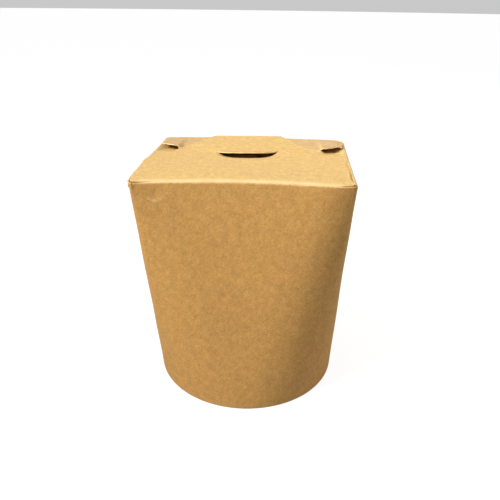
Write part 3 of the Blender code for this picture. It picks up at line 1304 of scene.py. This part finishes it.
@dataclass(frozen=True)
class BoardFinish:
    """Colours and surface of one sort of board.

    Attributes:
        wall: Colour of the smooth outer face.
        flap: Colour of the faces of the closed top, paler than the walls as painted light from above
            and painted sheen.
        wing: Colour of the rear flap's face, darker and greyer as painted shade and a painted
            reflection.
        worn_and_lit: Colour where a fold is pale, from scuffing and a painted highlight together.
        speck: Colour of the dark fibre specks.
    """

    name: str
    wall: tuple[float, float, float]
    flap: tuple[float, float, float]
    wing: tuple[float, float, float]
    worn_and_lit: tuple[float, float, float]
    speck: tuple[float, float, float]
    cloud_swing: float = 0.42
    strand_swing: float = 0.85
    roughness: float = 0.6
    relief: float = 0.012 * MM

    def build(self, grain: ShaderGroup, wear_and_highlight: ShaderGroup) -> bpy.types.Material:
        """Build the material.

        Args:
            grain: The fibre grain group.
            wear_and_highlight: The group of fold scuffing and painted highlight.

        Returns:
            The board's material.
        """
        material = bpy.data.materials.new(self.name)
        material.use_nodes = True
        material.diffuse_color = (*self.wall, 1.0)
        tree = ShaderTree(material.node_tree)
        surface = material.node_tree.nodes["Principled BSDF"]
        fibre = tree.node("ShaderNodeGroup", node_tree=grain.tree)
        wear_highlight_node = tree.node("ShaderNodeGroup", node_tree=wear_and_highlight.tree)
        # Painted light: the top's flap colour is paler as painted light from above and sheen, and the
        # rear flap's wing colour is darker and greyer as painted shade and reflection.
        top = tree.node("ShaderNodeAttribute", attribute_name="flap").outputs["Fac"]
        rear = tree.node("ShaderNodeAttribute", attribute_name="wing").outputs["Fac"]
        top_with_painted_light = tree.blend(rear, (*self.flap, 1.0), (*self.wing, 1.0))
        plain = tree.blend(top, (*self.wall, 1.0), top_with_painted_light)
        swings = []
        for key, swing in (("Clouds", self.cloud_swing), ("Strands", self.strand_swing)):
            off = tree.maths("SUBTRACT", fibre.outputs[key], 0.5)
            swings.append(tree.maths("MULTIPLY", off, swing))
        tone = tree.maths("ADD", 1.0, tree.maths("ADD", *swings))
        toned = tree.node(
            "ShaderNodeVectorMath", {0: plain, "Scale": tone}, operation="SCALE"
        ).outputs[0]
        # Folds turn towards the pale worn_and_lit colour: scuffing and a painted highlight together.
        worn_and_lit = tree.blend(
            tree.maths("MULTIPLY", wear_highlight_node.outputs["Wear"], 0.8), toned, (*self.worn_and_lit, 1.0)
        )
        specked = tree.blend(
            tree.maths("MULTIPLY", fibre.outputs["Specks"], 0.25), worn_and_lit, (*self.speck, 1.0)
        )
        rough = tree.maths(
            "ADD", self.roughness - 0.06, tree.maths("MULTIPLY", fibre.outputs["Strands"], 0.12)
        )
        bump = tree.node(
            "ShaderNodeBump",
            {"Height": fibre.outputs["Height"], "Distance": self.relief, "Strength": 0.6},
        )
        material.node_tree.links.new(specked, surface.inputs["Base Color"])
        material.node_tree.links.new(rough, surface.inputs["Roughness"])
        material.node_tree.links.new(bump.outputs[0], surface.inputs["Normal"])
        surface.inputs["Specular IOR Level"].default_value = 0.25
        return material


# Against wall, flap is paler as painted top light and sheen, wing is darker and greyer as painted
# shade and reflection, and worn_and_lit is scuffing with a painted highlight.
KRAFT = BoardFinish(
    "kraft_board",
    wall=(0.565, 0.302, 0.087),
    flap=(0.635, 0.412, 0.148),
    wing=(0.56, 0.365, 0.16),
    worn_and_lit=(0.86, 0.61, 0.31),
    speck=(0.25, 0.12, 0.035),
)
# A cut edge is paler than the face; its flap and wing colour is paler again, as painted light from
# above.
CUT_EDGE = BoardFinish(
    "cut_board_edge",
    wall=(0.80, 0.54, 0.25),
    flap=(0.86, 0.60, 0.28),
    wing=(0.86, 0.60, 0.28),
    worn_and_lit=(0.90, 0.68, 0.38),
    speck=(0.35, 0.19, 0.07),
    roughness=0.85,
    relief=0.06 * MM,
)
PANEL_BOARD = BoardFinish(
    "kraft_panel",
    wall=(0.56, 0.32, 0.11),
    flap=(0.56, 0.32, 0.11),
    wing=(0.56, 0.32, 0.11),
    worn_and_lit=(0.80, 0.56, 0.26),
    speck=(0.25, 0.12, 0.035),
    roughness=0.7,
)


# ---------------------------------------------------------------------------
# Pieces
# ---------------------------------------------------------------------------


@dataclass
class Carton:
    """The whole shut carton: its folded blank, its base panel and the ribs rolled in its rim."""

    sizes: CartonSizes
    fineness: Fineness
    board: bpy.types.Material
    cut: bpy.types.Material
    panel: bpy.types.Material

    def _thicken(self, piece: bpy.types.Object, sharp_degrees: float) -> None:
        """Give a sheet its thickness, inwards, with cut edges in their own material."""
        wall = piece.modifiers.new("board_thickness", "SOLIDIFY")
        wall.thickness = self.sizes.board
        wall.offset = -1.0
        wall.use_even_offset = False
        wall.use_rim = True
        wall.material_offset_rim = 1
        graph = bpy.context.evaluated_depsgraph_get()
        made = bpy.data.meshes.new_from_object(piece.evaluated_get(graph), depsgraph=graph)
        piece.modifiers.clear()
        piece.data = made
        made.name = piece.name
        made.shade_smooth()
        made.set_sharp_from_angle(angle=math.radians(sharp_degrees))

    def _piece(
        self, name: str, mesh: bpy.types.Mesh, *materials: bpy.types.Material
    ) -> bpy.types.Object:
        """Put a mesh in the scene as a piece that rides on the carton."""
        piece = bpy.data.objects.new(name, mesh)
        for material in materials:
            mesh.materials.append(material)
        bpy.context.scene.collection.objects.link(piece)
        return piece

    def build_blank(self) -> bpy.types.Object:
        """Build the folded blank.

        Returns:
            The finished piece.
        """
        blank = Blank(self.sizes, self.fineness, Outlines(self.sizes, self.fineness), Lid())
        piece = self._piece("folded_blank", blank.build(), self.board, self.cut)
        self._thicken(piece, 28.0)
        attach(piece, BODY)
        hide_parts("carton")
        return piece

    def build_base_panel(self) -> bpy.types.Object:
        """Build the round panel inside the foot.

        Returns:
            The finished piece.
        """
        piece = self._piece("round_panel", BasePanel(self.sizes).build(), self.panel, self.cut)
        self._thicken(piece, 40.0)
        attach(piece, BODY)
        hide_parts("base_panel")
        return piece

    def build_rim_ribs(self) -> bpy.types.Object:
        """Build the small ribs that the rolling wheel leaves inside the rim.

        Returns:
            The finished piece.
        """
        values = {
            "Radius": self.sizes.foot_radius - self.sizes.hem_width,
            "Level": 2.9 * MM,
            "Forward": self.sizes.foot_forward,
            "Count": 132,
            "Rib Length": 3.2 * MM,
            "Rib Width": 0.5 * MM,
            "Material": self.board,
        }
        mesh = knurl_tree().make_mesh("rim_ribs", bpy.data.meshes.new("no_ribs"), values)
        piece = self._piece("rim_ribs", mesh)
        mesh.shade_smooth()
        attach(piece, BODY)
        return piece


# ---------------------------------------------------------------------------
# Studio
# ---------------------------------------------------------------------------


@dataclass(frozen=True)
class View:
    """Where the camera stands and how it looks at the carton."""

    place: tuple[float, float, float] = (0.01215, -0.24643, 0.18148)
    turn_degrees: float = -2.587
    down_degrees: float = 22.485
    roll_degrees: float = -0.743
    lens: float = 38.08
    shift_y: float = -0.06

    def build(self) -> bpy.types.Object:
        """Make the camera and let the scene use it.

        Returns:
            The camera.
        """
        turn = math.radians(self.turn_degrees)
        down = math.radians(self.down_degrees)
        roll = math.radians(self.roll_degrees)
        forward = Vector(
            (math.sin(turn) * math.cos(down), math.cos(turn) * math.cos(down), -math.sin(down))
        )
        right = Vector((math.cos(turn), -math.sin(turn), 0.0))
        below = forward.cross(right)
        across = math.cos(roll) * right + math.sin(roll) * below
        low = -math.sin(roll) * right + math.cos(roll) * below
        axes = Matrix((across, -low, -forward)).transposed()
        camera = bpy.data.objects.new("camera", bpy.data.cameras.new("camera"))
        camera.matrix_world = Matrix.Translation(self.place) @ axes.to_4x4()
        camera.data.lens = self.lens
        camera.data.sensor_width = 36.0
        camera.data.shift_y = self.shift_y
        camera.data.clip_start = 0.01
        bpy.context.scene.collection.objects.link(camera)
        bpy.context.scene.camera = camera
        return camera


@dataclass(frozen=True)
class Lamp:
    """One square soft lamp that faces the carton.

    Attributes:
        name: The lamp's name.
        turn: Degrees round from straight in front, to the right.
        rise: Degrees over the floor.
        distance: How far from the place that it faces.
        size: The lamp's side.
        watts: Its power.
        spread: Degrees across its beam.
        aim: The place that it faces.
    """

    name: str
    turn: float
    rise: float
    distance: float
    size: float
    watts: float
    spread: float = 180.0
    aim: tuple[float, float, float] = (0.0, 0.0, 0.06)

    def build(self) -> bpy.types.Object:
        """Put the lamp in the scene, out of the camera's sight.

        Returns:
            The lamp.
        """
        data = bpy.data.lights.new(self.name, "AREA")
        data.spread = math.radians(self.spread)
        data.size = self.size
        data.energy = self.watts
        lamp = bpy.data.objects.new(self.name, data)
        turn, rise = math.radians(self.turn), math.radians(self.rise)
        way = Vector(
            (math.sin(turn) * math.cos(rise), -math.cos(turn) * math.cos(rise), math.sin(rise))
        )
        lamp.location = Vector(self.aim) + way * self.distance
        lamp.rotation_euler = way.to_track_quat("Z", "Y").to_euler()
        lamp.visible_camera = False
        bpy.context.scene.collection.objects.link(lamp)
        return lamp


KEY_FRONT_LEFT = Lamp(
    "key_front_left",
    turn=-60.0,
    rise=35.0,
    distance=0.9,
    size=0.40,
    watts=0.80,
    spread=28.0,
    aim=(0.01, 0.0, 0.21),
)
BACKDROP_GLOW = Lamp("backdrop_glow", turn=116.0, rise=8.0, distance=1.1, size=1.0, watts=6.0)


@dataclass(frozen=True)
class Studio:
    """A pale floor under a soft sky, with a key at the front left and a glow behind at the right."""

    sky: float = 0.58
    floor_tone: float = 0.30
    floor_glow: float = 0.82
    floor_radius: float = 12.0
    lamps: tuple[Lamp, ...] = (KEY_FRONT_LEFT, BACKDROP_GLOW)

    def _floor_paint(self) -> bpy.types.Material:
        """Make the floor's paint, which looks white and still throws little light up."""
        paint = bpy.data.materials.new("floor_paint")
        paint.use_nodes = True
        tree = ShaderTree(paint.node_tree)
        surface = paint.node_tree.nodes["Principled BSDF"]
        tone = self.floor_tone
        surface.inputs["Base Color"].default_value = (tone, tone, tone, 1.0)
        surface.inputs["Roughness"].default_value = 0.9
        surface.inputs["Specular IOR Level"].default_value = 0.0
        surface.inputs["Emission Strength"].default_value = self.floor_glow
        seen = tree.node("ShaderNodeLightPath").outputs["Is Camera Ray"]
        glow = tree.blend(seen, (0.0, 0.0, 0.0, 1.0), (1.0, 1.0, 1.0, 1.0))
        paint.node_tree.links.new(glow, surface.inputs["Emission Color"])
        return paint

    def build(self) -> None:
        """Build the floor, the sky and the lamps."""
        scene = bpy.context.scene
        scene.view_settings.view_transform = "Standard"
        world = bpy.data.worlds.new("white_sky")
        world.use_nodes = True
        back = world.node_tree.nodes["Background"]
        back.inputs["Color"].default_value = (1.0, 1.0, 1.0, 1.0)
        back.inputs["Strength"].default_value = self.sky
        scene.world = world
        mesh = bpy.data.meshes.new("floor")
        turns = np.linspace(0.0, math.tau, 64, endpoint=False)
        radius = self.floor_radius
        ring = [(radius * math.cos(turn), radius * math.sin(turn), 0.0) for turn in turns]
        mesh.from_pydata(ring, [], [list(range(len(ring)))])
        mesh.materials.append(self._floor_paint())
        floor = bpy.data.objects.new("floor", mesh)
        scene.collection.objects.link(floor)
        for lamp in self.lamps:
            lamp.build()


def main() -> None:
    """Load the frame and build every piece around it."""
    logging.basicConfig(level=logging.INFO, format="%(name)s: %(message)s")
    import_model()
    low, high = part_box("carton")
    sizes = CartonSizes.from_frame(low, high)
    View().build()
    Studio().build()
    grain = fibre_grain_group()
    wear_and_highlight = wear_and_highlight_group()
    carton = Carton(
        sizes,
        Fineness(),
        KRAFT.build(grain, wear_and_highlight),
        CUT_EDGE.build(grain, wear_and_highlight),
        PANEL_BOARD.build(grain, wear_and_highlight),
    )
    for build in (carton.build_blank, carton.build_base_panel, carton.build_rim_ribs):
        piece = build()
        LOG.info("%s: %d faces", piece.name, len(piece.data.polygons))


if __name__ == "__main__":
    main()
